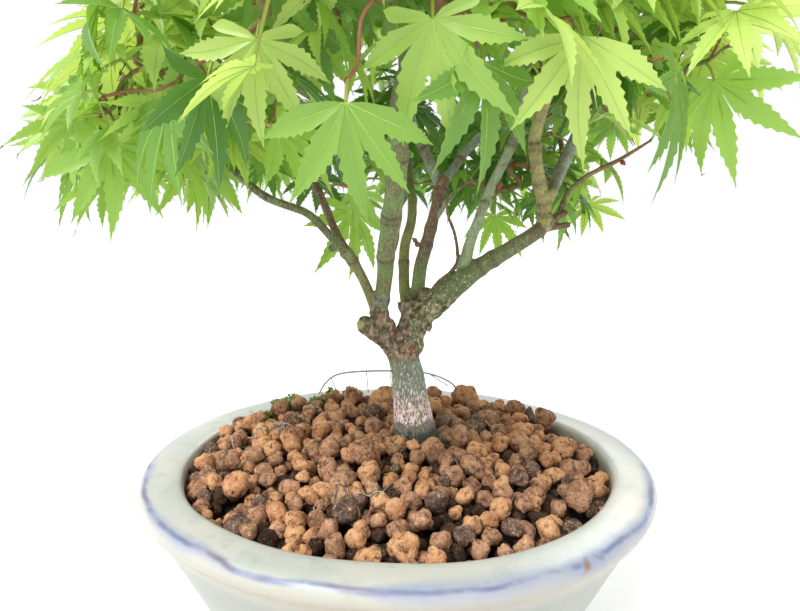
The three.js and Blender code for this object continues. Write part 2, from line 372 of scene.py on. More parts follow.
def glaze_material():
    """Pale celadon over cream, with a blurred blue and mauve line along the rim's outer edge."""
    shader = Shader("celadon_glaze")
    noise_in, steps, times, plus, minus = shader.noise, shader.steps, shader.times, shader.plus, shader.minus
    split = shader.tree.nodes.new("ShaderNodeSeparateXYZ")
    shader.link(shader.place, split.inputs[0])
    x, y, z = split.outputs
    below = minus(RIM_TOP, z)
    # how far over the rim's edge a point is, counted outward and then down the wall
    over = plus(minus(shader.math("SQRT", plus(times(x, x), times(y, y))), RIM_RADIUS), below)

    mottle = noise_in(140, 5, 0.7)
    colour = shader.mix(steps(noise_in(28, 4), 0.38, 0.66), rgb(175, 179, 173), rgb(190, 187, 178))
    colour = shader.tint(colour, rgb(156, 160, 154), mottle, 0.48, 0.7, 0.5)
    # the glaze is warmer where it thins over the rolled edge, and a cooler blue-green on the wall
    colour = shader.tint(colour, rgb(170, 166, 152), below, 0.6 * MM, 3.5 * MM, 0.75)
    colour = shader.tint(colour, rgb(142, 149, 142), below, 8 * MM, 14 * MM, 0.8)
    # painted shadow: a beige line just under the rolled edge, where the edge overhangs the wall
    fold_shadow = times(steps(below, 4.2 * MM, 5.6 * MM), steps(below, 10 * MM, 7.5 * MM))
    colour = shader.mix(times(fold_shadow, 0.5), colour, rgb(170, 156, 132))

    # the line wanders, and spreads into soft blue patches here and there
    wander = times(minus(noise_in(38), 0.5), 7 * MM)
    away = shader.math("ABSOLUTE", minus(minus(over, wander), 1.2 * MM))
    outer = plus(1.9 * MM, times(steps(noise_in(15, 1), 0.44, 0.62), 4.6 * MM))
    soft = minus(1.0, steps(away, 0.3 * MM, outer))
    blue = shader.mix(steps(noise_in(60, 2), 0.45, 0.62), rgb(110, 130, 170), rgb(132, 140, 168))
    colour = shader.mix(times(soft, 0.68), colour, blue)
    core = minus(1.0, steps(away, 0.0, 1.5 * MM))
    broken = times(steps(noise_in(80), 0.36, 0.6), 0.85)
    mauve = shader.mix(steps(noise_in(45, 2), 0.4, 0.6), rgb(108, 94, 106), rgb(94, 100, 132))
    colour = shader.mix(times(core, broken), colour, mauve)

    # bare brown clay shows where the glaze has crawled back from the edge
    edge = times(steps(over, -1.5 * MM, 0.5 * MM), steps(over, 5 * MM, 2.5 * MM))
    colour = shader.tint(colour, rgb(132, 96, 68), noise_in(44), 0.62, 0.66, edge)
    shader.set(Base_Color=colour, Roughness=plus(0.28, times(mottle, 0.2)))
    shader.set(Coat_Weight=0.08, Coat_Roughness=0.2)
    shader.bump(plus(times(noise_in(90), 0.7), times(mottle, 0.3)), 0.5 * MM, 0.5)
    return shader.material


def bridge(build, ring, other):
    """A band of faces between two rings of corners."""
    for corners in zip(ring, ring[1:] + ring[:1], other[1:] + other[:1], other):
        build.faces.new(corners)


def pierced_disc(build, ring, level):
    """Fills a ring with a flat disc that has the drain holes in it, and returns the holes' rings."""
    edges = [build.edges.get(pair) for pair in zip(ring, ring[1:] + ring[:1])]
    holes = []
    for i in range(DRAIN_HOLES):
        turn = 2 * np.pi * i / DRAIN_HOLES + np.pi / 2
        middle = DRAIN_RING * np.array([np.cos(turn), np.sin(turn)])
        around = (middle + DRAIN_RADIUS * circle(HOLE_SIDES)[1]) * MM
        hole = [build.verts.new((*spot, level)) for spot in around]
        edges += [build.edges.new(pair) for pair in zip(hole, hole[1:] + hole[:1])]
        holes.append(hole)
    bmesh.ops.triangle_fill(build, edges=edges, use_beauty=True)
    return holes


def pot_mesh():
    """The pot as a turned shell that is a little out of true, with drain holes through its floor."""
    profile = np.array(POT_PROFILE, float)
    line = [profile[0]]
    for near, far in zip(profile, profile[1:]):
        parts = max(1, int(np.linalg.norm(far - near) / 2.5))
        line += [near + (far - near) * (i + 1) / parts for i in range(parts)]
    line = np.array(line)
    angles, _ = circle(POT_SIDES)
    sway = 0.35 * np.sin(2 * angles + 0.6) + 0.22 * np.sin(5 * angles + 2) + 0.12 * np.sin(11 * angles + 4)
    lift = 0.3 * np.sin(3 * angles + 1) + 0.15 * np.sin(7 * angles)
    upper = ramp(line[:, 1:], -40, 0)
    radius = line[:, :1] + upper * sway
    height = line[:, 1:] + upper**3 * (lift - 0.3)
    points = at_rim(np.stack([radius * np.cos(angles), radius * np.sin(angles), height], -1).reshape(-1, 3))

    build = bmesh.new()
    corners = [build.verts.new(p) for p in points]
    for quad in ring_faces(len(line), POT_SIDES):
        build.faces.new([corners[i] for i in quad])
    lower_holes = pierced_disc(build, corners[:POT_SIDES], 0.0)
    edge = corners[-POT_SIDES:]
    inner = [build.verts.new((v.co.x * 0.94, v.co.y * 0.94, FLOOR_THICKNESS)) for v in edge]
    bridge(build, edge, inner)
    for low, high in zip(lower_holes, pierced_disc(build, inner, FLOOR_THICKNESS)):
        bridge(build, low, high)
    bmesh.ops.recalc_face_normals(build, faces=build.faces)
    mesh = bpy.data.meshes.new("pot_glazed")
    build.to_mesh(mesh)
    build.free()
    mesh.polygons.foreach_set("use_smooth", np.ones(len(mesh.polygons), bool))
    mesh.set_sharp_from_angle(angle=math.radians(50))
    return mesh


# ---------- soil ----------

MOUND_CREST, MOUND_DROP, MOUND_RADIUS = 4.6, 4.2, 67.0  # mm: its top and edge from the rim's top
MOUND_TILT = 2.2  # mm, from the middle to the back
MOUND_DEPTH = 7.5  # mm of granules over the fine soil
GRAIN_COUNT, GRAIN_SHAPES, GRAINS_IN_PIECE = 1550, 24, 600
GRAIN_RADIUS, GRAIN_SPREAD = 2.4, 0.24  # mm, and how widely sizes vary
SHADE_DEPTH = 2.5  # mm under the granules over it: from here a granule is painted dark as shade
BURIED_DEPTH = 6.5  # mm: from here one can't be seen
TRUNK_FOOT, TRUNK_CLEAR = (5.6, 2.0), 7.4  # mm: its centre, and how far from it granules keep
GRANULES = {  # name: its light and dark colours, and how dusty it is
    "granules_tan": (rgb(220, 166, 122), rgb(186, 130, 92), 0.75),
    "granules_brown": (rgb(190, 144, 114), rgb(150, 108, 84), 0.75),
    "granules_dark": (rgb(128, 104, 92), rgb(88, 70, 64), 0.75),
    # painted shade: granules sunk among the others take these dark colours
    "granules_damp": (rgb(76, 56, 44), rgb(46, 34, 28), 0.2),
}
UNSHADED_SHARES = [0.46, 0.44, 0.10]  # of the kinds not painted as shade


def mound_height(place):
    """The mound's top at places [x, y], in mm: a low dome that was heaped up towards the back."""
    place = np.asarray(place)
    out = (place[..., 0] ** 2 + place[..., 1] ** 2) / MOUND_RADIUS**2
    return MOUND_CREST - (MOUND_CREST + MOUND_DROP) * out + MOUND_TILT * place[..., 1] / MOUND_RADIUS


def close_pairs(place, size, slack):
    """Pairs of granules that touch or nearly do."""
    order = np.argsort(place[:, 0])
    sorted_place, sorted_size = place[order], size[order]
    reach = 2 * size.max() + slack
    first, second = [], []
    ends = np.searchsorted(sorted_place[:, 0], sorted_place[:, 0] + reach)
    for i, end in enumerate(ends):
        near = np.arange(i + 1, end)
        gap = sorted_place[near] - sorted_place[i]
        close = np.linalg.norm(gap, axis=1) < sorted_size[near] + sorted_size[i] + slack
        second.append(order[near[close]])
        first.append(np.full(close.sum(), order[i]))
    return np.concatenate(first), np.concatenate(second)


def packed_grains(rng):
    """Places and sizes of the granules, in mm from the rim's top: dropped at random, then pushed
    apart and pulled down onto the mound until they lie against each other."""
    size = np.clip(rng.lognormal(np.log(GRAIN_RADIUS), GRAIN_SPREAD, GRAIN_COUNT), 1.3, 4.3)
    angle = rng.uniform(0, 2 * np.pi, GRAIN_COUNT)
    radius = MOUND_RADIUS * np.sqrt(rng.uniform(0, 1, GRAIN_COUNT))
    place = np.stack([radius * np.cos(angle), radius * np.sin(angle), rng.uniform(-6, 9, GRAIN_COUNT)], 1)
    for turn in range(120):
        if turn % 6 == 0:
            first, second = close_pairs(place, size, 2.0)
        place[:, 2] -= 0.3
        gap = place[first] - place[second]
        distance = np.maximum(np.linalg.norm(gap, axis=1), 1e-6)
        overlap = np.clip(size[first] + size[second] - distance, 0, None)
        shift = (0.42 * overlap / distance)[:, None] * gap
        np.add.at(place, first, shift)
        np.add.at(place, second, -shift)
        flat = np.linalg.norm(place[:, :2], axis=1)
        inward = np.clip(flat + size * 0.92 - (MOUND_RADIUS + 1.0), 0, None)
        place[:, :2] -= place[:, :2] / np.maximum(flat, 1e-6)[:, None] * inward[:, None]
        from_trunk = place[:, :2] - TRUNK_FOOT
        near = np.linalg.norm(from_trunk, axis=1)
        outward = np.clip(TRUNK_CLEAR + size * 0.85 - near, 0, None)
        place[:, :2] += from_trunk / np.maximum(near, 1e-6)[:, None] * outward[:, None]
        ground = mound_height(place) - MOUND_DEPTH + size
        place[:, 2] = np.maximum(place[:, 2], ground)
    return place, size


def how_sunk(place, size):
    """How far each granule's top lies under the tops of the ones over it, in mm."""
    first, second = close_pairs(place * [1, 1, 0], size * 0.75, 0)
    top = place[:, 2] + size
    cover = top.copy()
    np.maximum.at(cover, first, top[second])
    np.maximum.at(cover, second, top[first])
    return cover - top


def grain_shapes(rng):
    """Unit granules: each a ball with smaller crumbs stuck into it, some of them worn smooth."""
    directions, faces = ball()
    directions = unit(directions)
    shapes = []
    for kind in range(GRAIN_SHAPES):
        worn = kind % 4 == 0
        reach = np.full(len(directions), 0.86 if worn else 0.7)
        for _ in range(9 if worn else 17):
            centre = unit(rng.normal(size=3)) * rng.uniform(0.42, 0.62)
            radius = rng.uniform(0.42, 0.55) if worn else rng.uniform(0.28, 0.5)
            along = directions @ centre
            room = radius**2 - centre @ centre + along**2
            crumb = along + np.sqrt(np.maximum(room, 0))
            reach = np.where(room > 0, np.maximum(reach, crumb), reach)
        reach += 0.09 * noise_at(directions, 4.5, kind) + 0.09 * noise_at(directions, 9.0, kind + 50)
        stretch = 1 + rng.uniform(-0.22, 0.22, 3)
        shapes.append((directions * reach[:, None] * stretch, faces))
    return shapes


def granule_material(name, light, dark, dusty):
    """Fired clay: crumbly, dusty and dull, with pores between its grains, darkened where the bump dips as
    painted shade.
    """
    shader = Shader(name)
    crumbs, grit = shader.noise(520, 5, 0.72), shader.noise(1700, 3, 0.7)
    colour = shader.mix(shader.steps(shader.noise(140), 0.36, 0.64), dark, light)
    # painted shade: darker in the pores, where the bump's height is low
    colour = shader.tint(colour, rgb(66, 42, 30), crumbs, 0.5, 0.34, 0.85)
    colour = shader.tint(colour, rgb(240, 196, 152), shader.plus(crumbs, grit), 1.0, 1.3, dusty)
    shader.set(Base_Color=colour, Roughness=0.95, Specular_IOR_Level=0.15)
    shader.bump(shader.plus(crumbs, shader.times(grit, 0.45)), 1.1 * MM)
    return shader.material


def make_granules(rng):
    place, size = packed_grains(rng)
    shapes = grain_shapes(rng)
    kinds = rng.choice(3, GRAIN_COUNT, p=UNSHADED_SHARES)
    sunk = how_sunk(place, size)
    # granules sunk under their neighbours take the dark kind: painted shade in the gaps
    kinds[sunk > SHADE_DEPTH] = 3
    made = [[] for _ in GRANULES]
    for i in np.flatnonzero(sunk < BURIED_DEPTH):
        points, faces = shapes[rng.integers(len(shapes))]
        turn = np.array(Matrix.Rotation(rng.uniform(0, 6.28), 3, Vector(unit(rng.normal(size=3)))))
        stretch = size[i] * (1 + rng.uniform(-0.05, 0.15))
        made[kinds[i]].append((points @ turn.T * stretch * MM + at_rim(place[i]), faces))
    stands_for = ["soil"]
    for (name, look), parts in zip(GRANULES.items(), made):
        material = granule_material(name.replace("granules", "granule"), *look)
        pieces = math.ceil(len(parts) / GRAINS_IN_PIECE)
        for share, group in enumerate(np.array_split(np.arange(len(parts)), pieces)):
            add_parts(f"{name}_{share + 1}", [parts[i] for i in group], material, stands_for)
            stands_for = []
    return place, size


def make_gap_shade_soil():
    """A soil sheet under the granules, near black so that the gaps between them show as painted shade."""
    steps, sides = 40, 96
    radius = np.linspace(0, MOUND_RADIUS + 0.6, steps)[:, None, None]
    flat = (radius * circle(sides)[1]).reshape(-1, 2)
    points = at_rim(np.column_stack([flat, mound_height(flat) - MOUND_DEPTH + 1.5]))
    shader = Shader("gap_shade_soil")
    crumbs = shader.noise(700, 5, 0.7)
    # near black: painted shade in the gaps, over the soil's own dark brown
    shader.set(Base_Color=shader.mix(crumbs, rgb(16, 13, 12), rgb(46, 34, 28)), Roughness=1.0)
    shader.bump(crumbs, 1.0 * MM)
    add_parts("gap_shade_soil", [(points, ring_faces(steps, sides)[:, [0, 3, 2, 1]])], shader.material)


MOSS_TUFTS = [(-45, 42, 4.5), (-50, 37, 3), (-37, 51, 4), (-30, 55, 3.5), (-21, 58, 3)]  # x, y, reach in mm
ROOTLETS = [(-57, 4), (-38, 24), (-50, 13), (-38, 12), (-31, 36), (-20, 46), (2, -8), (-15, -8), (-4, -36),
            (-13, -38), (-59, -14), (22, -22), (34, 10), (12, 44)]


def ground_under(place, size, spot):
    """The height of the granules' tops at a spot, in mm from the rim."""
    gap = np.linalg.norm(place[:, :2] - spot, axis=1)
    cover = np.where(gap < size * 0.9, place[:, 2] + np.sqrt(np.maximum((size * 0.9) ** 2 - gap**2, 0)), -9)
    return max(cover.max(), mound_height(spot) - 3)


def make_moss(rng, place, size):
    """Bright tufts of small leaves between the granules."""
    blades = []
    for x, y, reach in MOSS_TUFTS:
        for _ in range(int(34 * reach)):
            spot = np.array([x, y]) + rng.normal(0, reach * 0.42, 2)
            foot = np.array([*spot, ground_under(place, size, spot) - 0.5])
            lean = unit(rng.normal(size=3) * [1, 1, 0.3] + [0, 0, 0.9])
            tip = foot + lean * rng.uniform(1.2, 2.8)
            across = unit(np.cross(lean, rng.normal(size=3))) * rng.uniform(0.3, 0.55)
            middle = (foot + tip) / 2
            blades.append((at_rim([foot, middle + across, tip, middle - across]), np.array([[0, 1, 2, 3]])))
    add_parts("moss", blades, plain("moss", rgb(104, 150, 44), 0.7))


def make_rootlets(rng, place, size):
    """Fine dry roots and stems that lie over the granules in little tangles."""
    strands = {"pale": [], "dark": []}
    for x, y in ROOTLETS:
        for _ in range(12):
            spot = np.array([x, y]) + rng.normal(0, 2.8, 2)
            turn = rng.uniform(0, 2 * np.pi)
            line = []
            for _ in range(9):
                line.append([*spot, ground_under(place, size, spot) + 0.15])
                turn += rng.normal(0, 0.45)
                spot = spot + rng.uniform(0.5, 0.9) * np.array([math.cos(turn), math.sin(turn)])
            line = np.array(line)
            # a root bridges the gaps between granules rather than dipping into them
            for _ in range(6):
                line[1:-1, 2] = np.maximum(line[1:-1, 2], (line[:-2, 2] + line[2:, 2]) / 2)
            line = smooth_line(at_rim(line), 0.5 * MM)
            kind = "pale" if rng.random() < 0.4 else "dark"
            strands[kind].append(tube(line, np.linspace(0.18, 0.09, len(line)) * MM, 5))
    for kind, colour in (("pale", rgb(186, 176, 158)), ("dark", rgb(84, 80, 66))):
        add_parts(f"rootlets_{kind}", strands[kind], plain(f"rootlet_{kind}", colour, 0.8))


WIRE_LOOP = [(-34, 58, 2.5), (-31, 59, 7.5), (-26, 60.5, 10.6), (-16, 61.4, 11.8), (0, 61.5, 12.2),
             (8, 61.3, 11.9), (14, 61, 10.9), (19, 60.4, 9.2), (23, 60, 6.8), (25.5, 59.5, 3.0)]
WIRE_STAYS = [[(-29, 59.8, 9.2), (-26, 58, 3)], [(-14, 61.3, 11.8), (-13, 58, 3.5)],
              [(13, 60.8, 11), (21, 58.5, 6.5)], [(-4, 61.4, 12.1), (-3, 58, 4)]]


def make_wire():
    """The thin wire loop that stands behind the trunk."""
    parts = []
    for points, radius, sides in [(WIRE_LOOP, 0.45, 8)] + [(stay, 0.26, 6) for stay in WIRE_STAYS]:
        line = smooth_line(at_rim(points), 1 * MM)
        parts.append(tube(line, np.full(len(line), radius * MM), sides))
    metal = plain("tie_wire_metal", rgb(198, 202, 206), 0.4, Metallic=0.3)
    add_parts("tie_wire_loop", parts, metal, ["tie_wire"])


def make_soil():
    rng = np.random.default_rng(SEED)
    place, size = make_granules(rng)
    make_gap_shade_soil()
    make_moss(rng, place, size)
    make_rootlets(rng, place, size)
    make_wire()


# ---------- trunk and boughs ----------

VOXEL = 0.44 * MM
BROWN, RUST, PALE_GREEN = rgb(112, 86, 66), rgb(146, 100, 66), rgb(150, 165, 128)
OLIVE, MOSSY, GREEN, YELLOW_GREEN = rgb(132, 134, 82), rgb(104, 118, 74), rgb(118, 138, 84), rgb(156, 150, 92)
GREY_GREEN, DARK_FOOT, SILVER = rgb(138, 150, 134), rgb(66, 72, 68), rgb(170, 178, 158)

# Each limb: its points [x, y, height from the rim's top] in mm, its radii in mm and its tints, both spread
# evenly from foot to tip, and the heights of the scars that old leaf pairs left.
LIMBS = {
    "trunk": (
        [(5.7, 2, -2), (5.2, 2, 5.5), (4.5, 2, 12.5), (3.6, 2, 19), (3.0, 2, 25.5), (1.6, 2, 31),
         (0.6, 2, 36.5)],
        [8.9, 7.6, 6.6, 5.9, 5.45, 5.1, 5.2], [DARK_FOOT, GREY_GREEN, BROWN], []),
    "left_fork": (
        [(0, 2, 33), (-4.6, 1.2, 39.5), (-6.5, 0, 46), (-6.9, 0, 50.5)],
        [4.2, 3.4, 3.0, 2.7], [BROWN, BROWN], [47]),
    "cut_stub": (
        [(-1.5, 2, 35.5), (-7.6, -0.8, 40.0), (-11.2, -3, 43.2)],
        [3.4, 2.6, 2.7], [BROWN, BROWN], []),
    "left_bough": (
        [(-7.0, 0, 45), (-9.6, -1, 52.5), (-12.4, -2, 59), (-16.5, -4, 66.3)],
        [1.9, 1.65, 1.6, 1.9], [OLIVE, OLIVE], [64]),
    "left_outer_bough": (
        [(-15.8, -4, 65.6), (-22.1, -5, 72), (-29, -7, 78.8), (-41.2, -10, 83.8), (-52, -12, 93)],
        [1.6, 1.3, 1.25, 1.15, 0.8], [MOSSY, MOSSY], [76.5, 83.5, 86]),
    "left_rear_bough": (
        [(-16.2, -3.6, 66), (-20.6, 2, 72), (-27.7, 10, 86.3), (-36, 18, 98), (-46, 34, 108)],
        [1.5, 1.3, 1.25, 1.2, 0.8], [BROWN, BROWN], [80, 92]),
    "front_bough": (
        [(-6.6, 0, 46), (-4.9, -3, 59.6), (-4.5, -8, 67.8), (-3, -13, 77.1), (-1, -23, 94), (-1, -36, 106),
         (2, -58, 118)],
        [2.3, 2.65, 2.9, 2.95, 2.7, 2.1, 1.0], [GREEN, GREEN, GREEN], [52, 65.5, 76.6, 79, 95]),
    "front_left_bough": (
        [(-1.5, -24, 95), (-12, -30, 103), (-30, -44, 112), (-44, -56, 120)],
        [1.8, 1.4, 1.1, 0.7], [GREEN, MOSSY], [103]),
    "centre_fork": (
        [(1, 2, 33), (3, 3, 39.4), (4.2, 4, 45), (4.8, 5, 50.5)],
        [4.6, 4.1, 4.0, 3.4], [BROWN, BROWN], [41]),
    "centre_thin_bough": (
        [(3.2, 5.5, 46), (1.6, 9, 52), (1.2, 14, 59.5), (1.5, 18, 68), (4, 26, 80), (2, 52, 104)],
        [2.0, 1.9, 1.8, 1.6, 1.3, 0.8], [OLIVE, OLIVE], [62]),
    "centre_bough": (
        [(5.4, 5.6, 46), (6.6, 10, 60), (8.3, 12, 66.7), (10.6, 14, 75.8), (12.5, 15, 83.6),
         (13.8, 15, 89.5)],
        [2.7, 2.35, 2.25, 2.1, 1.9, 2.1], [GREEN, GREEN, BROWN, BROWN, BROWN], [68.5, 74, 88]),
    "centre_upper_bough": (
        [(13.2, 15, 88), (7.9, 18, 99.7), (3.4, 21, 110), (0.4, 22, 126), (0, 20, 146), (2, 10, 178),
         (2, 4, 204)],
        [1.8, 1.75, 1.7, 1.6, 1.4, 1.1, 0.7], [GREY_GREEN, OLIVE], [100, 118]),
    "centre_rear_bough": (
        [(13.6, 15, 88.4), (20.6, 25, 98), (27.5, 33, 106), (38, 46, 114)],
        [1.7, 1.5, 1.4, 0.9], [GREY_GREEN, GREY_GREEN], [98]),
    "right_fork": (
        [(1.8, 2.5, 35), (7, 2.8, 45.2), (11.8, 2, 49.6), (16.2, 1, 54.5), (20.8, 0, 58.6)],
        [4.2, 3.9, 3.9, 3.75, 3.4], [MOSSY, MOSSY], [46]),
    "right_bough": (
        [(18.6, 0.3, 56.5), (26.3, 0, 62.7), (34.9, -1, 68.2), (42.5, -2, 73.4), (46.3, -2, 77.2)],
        [3.5, 2.85, 2.6, 2.4, 2.3], [MOSSY, MOSSY], [62.3, 65]),
    "right_inner_bough": (
        [(20.2, 0.2, 57), (21.8, 2, 67.5), (25.6, 4, 78.4), (29.5, 6, 88.5), (34, 6, 98), (38, 6, 110),
         (40, 2, 132), (38, -4, 156)],
        [2.3, 1.75, 1.6, 1.6, 1.65, 1.6, 1.4, 0.8], [PALE_GREEN, PALE_GREEN, SILVER, GREY_GREEN],
        [60, 82.5, 101]),
    "right_middle_bough": (
        [(45.4, -2, 75.6), (44.6, -3, 83), (42.6, -5, 88.8), (40.6, -7, 97), (40.1, -9, 104.2),
         (42, -24, 116), (50, -44, 124)],
        [2.3, 2.15, 1.9, 1.8, 1.7, 1.3, 0.8], [YELLOW_GREEN, YELLOW_GREEN], [79.5, 82.8, 88.8, 98, 100]),
    "right_outer_bough": (
        [(44.4, -3, 81.5), (46.9, -1.4, 85.2), (49.6, 2, 90.6), (53.4, 5, 98.4), (57.7, 7, 107),
         (62, 9, 116), (60, 12, 132), (54, 10, 156)],
        [1.6, 2.0, 2.05, 2.05, 1.95, 1.8, 1.5, 0.8], [GREY_GREEN, PALE_GREEN], [112, 128]),
    "right_low_bough": (
        [(47.2, -1.2, 77.4), (50.6, 0.6, 79.6), (53.4, 3, 85.8), (60, 5.4, 91.6), (70.4, 6, 97),
         (81, 7, 103.6)],
        [1.3, 0.95, 0.85, 0.78, 0.66, 0.45], [BROWN, OLIVE, RUST, RUST], [83, 90, 95.5]),
    "right_low_stub": (
        [(44.5, -2, 74.5), (49, -1.6, 75.4), (53.6, -1.4, 76.2)],
        [1.3, 1.0, 1.05], [BROWN, BROWN], []),
    "right_high_stub": (
        [(47.2, -1.6, 76.8), (50, -1.2, 78.6), (52.6, -1.0, 80.2)],
        [1.2, 0.9, 0.95], [BROWN, BROWN], []),
    "right_crossing_twig": (
        [(44, 7, 112), (50.6, 7.6, 115.6), (58.3, 8, 118), (66, 8, 121.5), (76, 9, 127)],
        [0.7, 1.0, 0.95, 0.8, 0.5], [OLIVE, BROWN, BROWN], [117, 122]),
    "inner_twig": (
        [(9.2, 2.6, 52), (12.4, 1.2, 57), (16, 1.6, 60), (18.4, 2.6, 63.4), (18.6, 4, 67), (17.6, 6, 73),
         (15.2, 8, 80), (16, 12, 88)],
        [0.9, 0.75, 0.65, 0.6, 0.6, 0.55, 0.5, 0.3], [BROWN, BROWN, OLIVE], [66, 75]),
    "side_twig": (
        [(-3.4, -2, 62), (-2.2, 0.5, 66), (-0.9, 1.5, 70.5), (0, 2, 77)],
        [0.6, 0.5, 0.42, 0.3], [BROWN, BROWN], []),
    "grey_twig": (
        [(12.6, 13.4, 78), (15.6, 12, 83), (20.8, 12, 88.6), (27.2, 13, 91)],
        [0.8, 0.62, 0.55, 0.4], [GREY_GREEN, BROWN], [88]),
    "splinter": (
        [(-0.6, 0.5, 37), (-1.4, -0.6, 39.4), (-2.3, -1, 42)],
        [0.7, 0.5, 0.2], [BROWN, BROWN], []),
}

KNOBS = [  # swellings where buds, scars and old cuts are: x, y, height from the rim's top, radius, in mm
    (-21.6, -4, 68, 1.3), (-17.2, -3.6, 66.6, 2.2), (47.2, -3.6, 86.2, 1.7), (63, 8, 117.5, 2.3),
    (65.5, 7, 115, 1.6), (5.6, 9.4, 68.8, 1.1), (13.9, 14.6, 89.6, 2.5), (9.4, -1.2, 42.6, 1.3),
    (-48.5, -11.5, 90.4, 1.6), (3.6, 1.6, 36.4, 4.6), (8.6, 3.2, 52.6, 2.6), (1.4, 4.2, 48.4, 2.2),
    (-4.4, 0.4, 42.4, 3.2), (-11.0, -3.0, 43.4, 2.9), (43.6, -3.6, 74.0, 2.2), (40.5, -2.6, 71.2, 1.7),
    (45.4, -3.2, 77.4, 2.5), (21.2, -0.6, 59.2, 3.3), (-6.0, -1, 51.2, 2.9)
]


def limb_lines():
    """Each limb's centreline in metres, a point every millimetre, with its radii and frames."""
    lines = {}
    for name, (points, radii, _, rings) in LIMBS.items():
        line = smooth_line(at_rim(points), 1.0 * MM)
        radii = np.interp(np.linspace(0, 1, len(line)), np.linspace(0, 1, len(radii)), radii) * MM
        for ring in rings:
            at = np.argmin(np.abs(line[:, 2] - RIM_TOP - ring * MM))
            radii = radii * (1 + 0.13 * bell(np.arange(len(line)), at, 1.3))
        lines[name] = (line, radii, *line_frames(line))
    return lines


def fused(parts, voxel):
    """Closed parts melted into one skin."""
    points, faces = joined(parts)
    rough = bpy.data.objects.new("rough", mesh_from("rough", points, faces))
    bpy.context.scene.collection.objects.link(rough)
    remesh = rough.modifiers.new("melt", "REMESH")
    remesh.mode, remesh.voxel_size = "VOXEL", voxel
    smooth = rough.modifiers.new("smooth", "SMOOTH")
    smooth.factor, smooth.iterations = 0.5, 3
    evaluated = rough.evaluated_get(bpy.context.evaluated_depsgraph_get())
    mesh = bpy.data.meshes.new_from_object(evaluated)
    bpy.data.objects.remove(rough)
    return mesh


def blend_along(tints, share):
    """Colours along a limb, from foot to tip."""
    colours = np.array(tints)
    stops = np.linspace(0, 1, len(colours))
    return np.stack([np.interp(share, stops, colours[:, channel]) for channel in range(4)], 1)


def corner_values(mesh, field):
    values = np.zeros(len(mesh.vertices) * 3)
    mesh.vertices.foreach_get(field, values)
    return values.reshape(-1, 3)


def limb_places(points, lines):
    """For each corner of the skin: the number of its limb, its share of the way along it, and its
    place across and along the grain."""
    stacked = [np.concatenate([values[i] for values in lines.values()]) for i in (0, 1, 3, 4)]
    centres, radii, across, beside = stacked
    counts = [len(line) for line, *_ in lines.values()]
    owner = np.repeat(np.arange(len(counts)), counts)
    share = np.concatenate([np.linspace(0, 1, count) for count in counts])
    along = np.concatenate([np.arange(count) for count in counts])
    tree = kdtree.KDTree(len(centres))
    for i, centre in enumerate(centres):
        tree.insert(centre, i)
    tree.balance()
    nearest = np.array([min(tree.find_n(p, 10), key=lambda hit: hit[2] - radii[hit[1]])[1] for p in points])
    offset = (points - centres[nearest]) / MM
    grain = np.stack([np.einsum("ij,ij->i", offset, across[nearest]),
                      np.einsum("ij,ij->i", offset, beside[nearest]),
                      along[nearest] / 4.5 + owner[nearest] * 13.0], 1)
    return owner[nearest], share[nearest], grain


